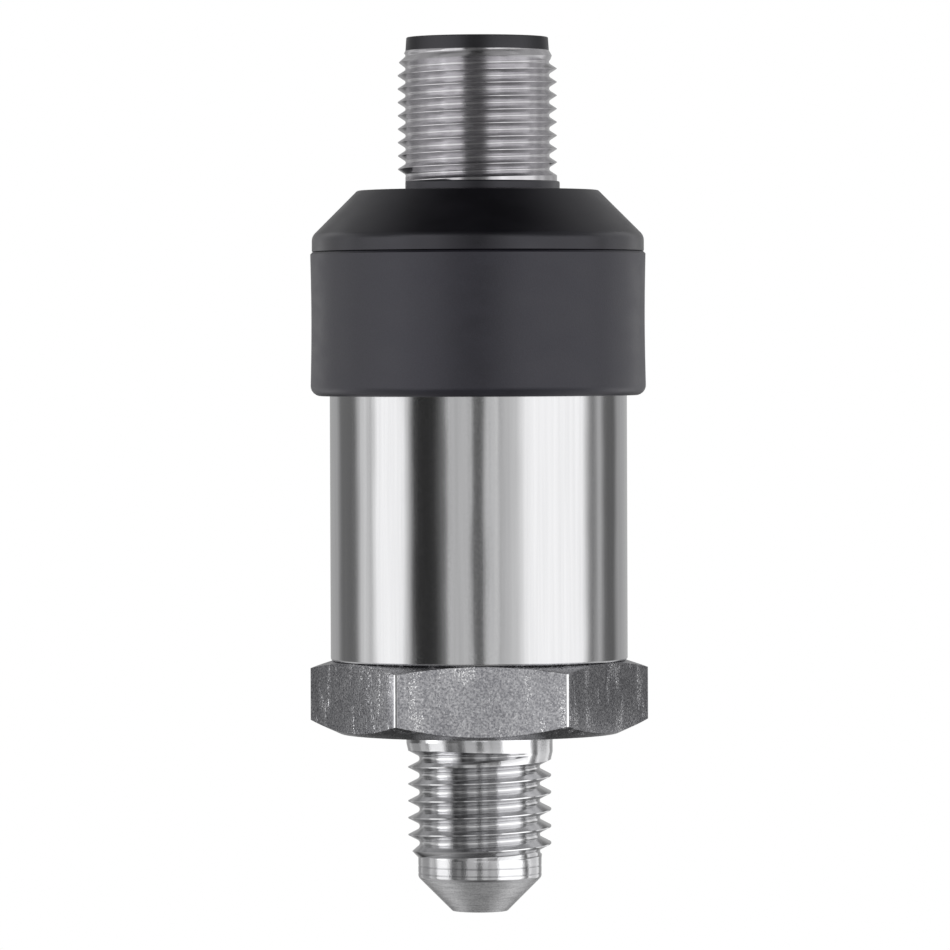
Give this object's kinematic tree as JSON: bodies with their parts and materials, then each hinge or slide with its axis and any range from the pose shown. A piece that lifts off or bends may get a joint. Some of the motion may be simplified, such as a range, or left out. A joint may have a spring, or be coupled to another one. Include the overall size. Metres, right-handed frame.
{
  "type": "pressure transmitter",
  "caption": "Pressure transmitter: flared threaded male fitting with a wrench hexagon, a tubular steel case, and a round threaded plug connector on a bevelled plastic head.",
  "frame": {"origin": "on the axis, at the underside of the wrench hexagon where the fitting's thread begins", "axes": "+Z along the axis, from the fitting towards the connector; a flat of the hexagon faces -Y"},
  "size_m": [0.0254, 0.0252, 0.0654],
  "materials": {
    "turned_steel": "fine-grained turned and bead-blasted stainless steel",
    "cell_steel": "ground stainless steel",
    "gauge_silicon": "polished silicon",
    "gold_wire": "bright gold",
    "carrier_plastic": "natural moulded plastic",
    "circuit_board": "green solder mask over glass laminate",
    "foil": "amber polyimide foil",
    "chip_black": "matt moulded epoxy",
    "capacitor_ceramic": "fired ceramic",
    "resistor_black": "glazed black",
    "diode_black": "matt moulded epoxy",
    "socket_black": "moulded plastic",
    "gold_pin": "gold plated, bright",
    "case_steel": "polished stainless steel tube",
    "seal_rubber": "smooth black rubber",
    "ring_plastic": "dark grey moulded plastic, finely textured",
    "cap_plastic": "black moulded plastic, satin",
    "insert_plastic": "black moulded plastic, satin",
    "nickel_sleeve": "nickel plated, satin"
  },
  "bodies": {
    "root": {"process_connection": "turned_steel", "measuring_cell": "cell_steel", "gauge_chip": "gauge_silicon", "gauge_leads": "gold_wire", "cell_ring": "carrier_plastic", "contact_board": "circuit_board", "sensor_flex": "foil", "board_carrier": "carrier_plastic", "main_board": "circuit_board", "signal_chip": "chip_black", "output_chip": "chip_black", "board_capacitors": "capacitor_ceramic", "board_resistors": "resistor_black", "surge_diodes": "diode_black", "board_socket": "socket_black", "board_links": "gold_pin", "case_tube": "case_steel", "case_seal": "seal_rubber", "head_ring": "ring_plastic", "cap_seal": "seal_rubber", "head_cap": "cap_plastic", "connector_sleeve": "nickel_sleeve", "sleeve_seal": "seal_rubber", "connector_insert": "insert_plastic", "connector_board": "circuit_board", "contact_pin_1": "gold_pin", "contact_pin_2": "gold_pin", "contact_pin_3": "gold_pin", "contact_pin_4": "gold_pin"}
  },
  "joints": []
}
